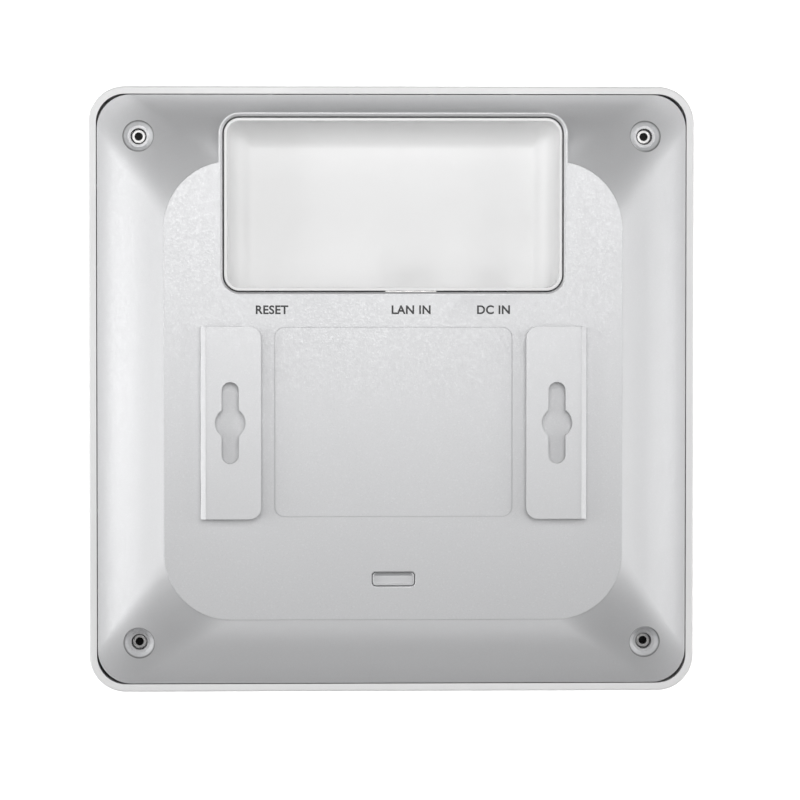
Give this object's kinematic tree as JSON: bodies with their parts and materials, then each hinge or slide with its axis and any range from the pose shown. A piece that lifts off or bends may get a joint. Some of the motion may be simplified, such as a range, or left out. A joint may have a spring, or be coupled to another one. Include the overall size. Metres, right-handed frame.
{
  "type": "ceiling access point",
  "caption": "Square ceiling access point: white front cover, grey back shell with sloped sides, cable bay with network and power sockets, hooked mount rails with keyholes.",
  "frame": {"origin": "centre of the flat front face, in the plane of that face", "axes": "+Z out of the back towards the ceiling, +Y from the middle towards the cable bay, +X to the right seen from behind with the bay up"},
  "size_m": [0.194, 0.194, 0.035],
  "materials": {
    "cover_white": "smooth satin",
    "shell_grey": "fine spark texture, slightly metallic",
    "rail_grey": "fine texture",
    "tray_white": "smooth satin",
    "clear_plastic": "clear, frosted",
    "foam": "matte foam",
    "brass_metal": "turned or stamped",
    "screw_steel": "nickel plated",
    "board_green": "solder mask",
    "chip_black": "moulded epoxy",
    "pad_grey": "soft silicone",
    "sink_aluminium": "extruded",
    "black_plastic": "moulded",
    "button_black": "satin",
    "can_steel": "tin plated sheet",
    "ferrite": "sintered",
    "ceramic": "fired",
    "gold_contact": "gold flash",
    "lead_black": "extruded jacket"
  },
  "bodies": {
    "housing": {"antenna_sockets": "gold_contact", "back_shell": "shell_grey", "board_screws": "screw_steel", "boss_inserts": "brass_metal", "clock_crystal": "can_steel", "corner_screws": "screw_steel", "dc_jack_housing": "black_plastic", "dc_jack_leaf": "gold_contact", "dc_jack_pin": "gold_contact", "debug_header": "black_plastic", "flash_chip": "chip_black", "front_cover": "cover_white", "heat_sink": "sink_aluminium", "heat_sink_pins": "black_plastic", "lan_jack_contacts": "gold_contact", "lan_jack_insert": "black_plastic", "lan_jack_shield": "can_steel", "lan_transformer": "chip_black", "latch_pocket": "rail_grey", "lead_plugs": "gold_contact", "left_lower_antenna": "brass_metal", "left_lower_lead": "lead_black", "left_mount_rail": "rail_grey", "left_radio_shield": "can_steel", "left_upper_antenna": "brass_metal", "left_upper_lead": "lead_black", "light_gasket": "foam", "light_guide": "clear_plastic", "main_board": "board_green", "memory_chips": "chip_black", "port_bay_tray": "tray_white", "power_inductors": "ferrite", "power_transformer": "ferrite", "processor": "chip_black", "radio_chips": "chip_black", "reset_switch_body": "black_plastic", "reset_switch_contacts": "gold_contact", "right_lower_antenna": "brass_metal", "right_lower_lead": "lead_black", "right_mount_rail": "rail_grey", "right_radio_shield": "can_steel", "right_upper_antenna": "brass_metal", "right_upper_lead": "lead_black", "round_capacitors": "sink_aluminium", "small_ceramics": "ceramic", "status_light": "clear_plastic", "thermal_pad": "pad_grey", "tray_screws": "screw_steel"},
    "reset_key": {"reset_button": "button_black", "reset_switch_stem": "black_plastic"}
  },
  "joints": [
    {"name": "reset_press", "type": "slide", "parent": "housing", "child": "reset_key", "axis": [0, -1, 0], "range_m": [0, 0.0004], "stiffness_N_per_m": 2500, "springref_m": -0.0004}
  ]
}
